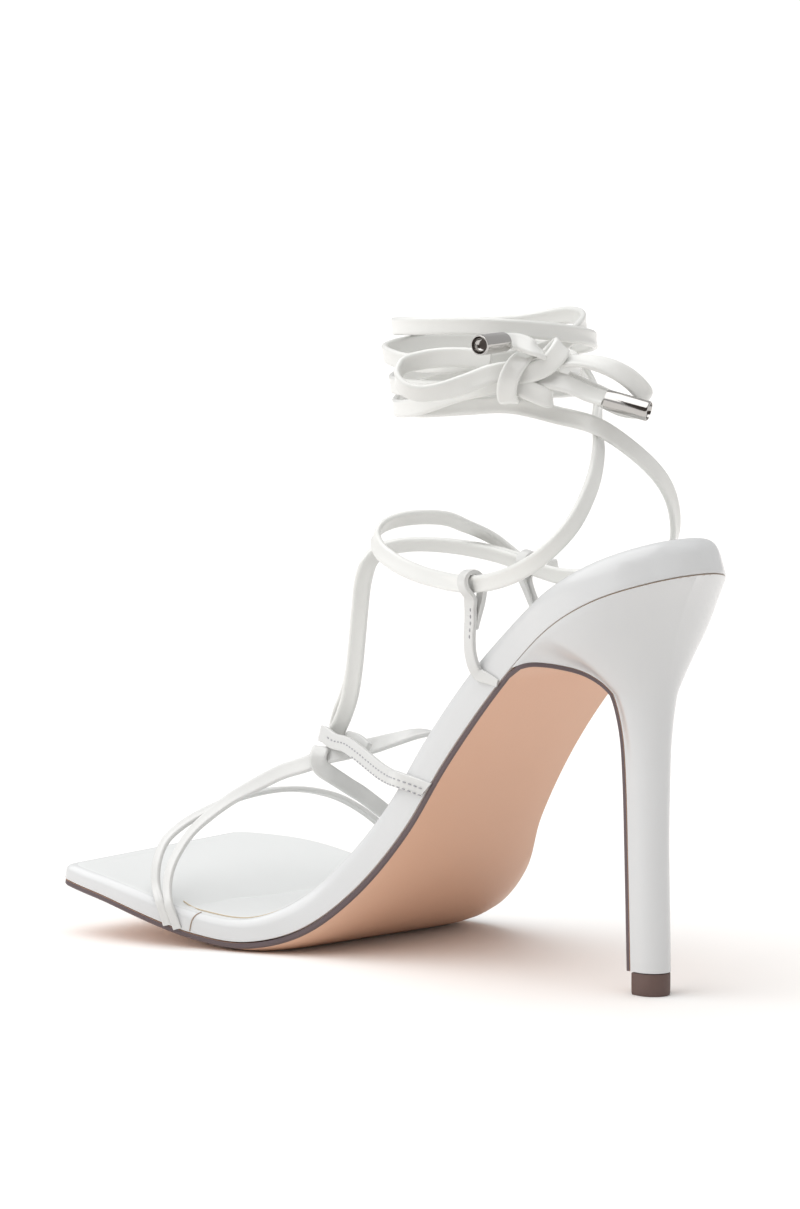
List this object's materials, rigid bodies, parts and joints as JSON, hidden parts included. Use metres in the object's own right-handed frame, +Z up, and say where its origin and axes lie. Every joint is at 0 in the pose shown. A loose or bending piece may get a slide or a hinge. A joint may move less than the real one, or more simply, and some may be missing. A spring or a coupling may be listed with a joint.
{
  "type": "stiletto sandal",
  "caption": "Right stiletto sandal with a flared square toe, narrow crossing straps, a slim covered heel and a flat lace wound round the ankle and tied in a bow.",
  "frame": {"origin": "on the floor, under the middle of the box round the sole, straps and lace", "axes": "+X from the toe to the heel, +Y from the inner side of the foot to the outer side, +Z up from the floor"},
  "size_m": [0.1943, 0.0945, 0.1709],
  "materials": {
    "white_patent": "smooth patent gloss",
    "tan_sole": "smooth satin",
    "brown_rubber": "matte",
    "silver_metal": "polished"
  },
  "bodies": {
    "root": {"outsole": "tan_sole", "footbed": "white_patent", "heel": "white_patent", "top_piece": "brown_rubber", "upper_straps": "white_patent", "heel_loop_inner": "white_patent", "heel_loop_outer": "white_patent", "lace": "white_patent", "lace_knot": "white_patent", "lace_bow_front": "white_patent", "lace_bow_back": "white_patent", "lace_end_front": "white_patent", "lace_end_back": "white_patent", "aglet_front": "silver_metal", "aglet_back": "silver_metal"}
  },
  "joints": []
}
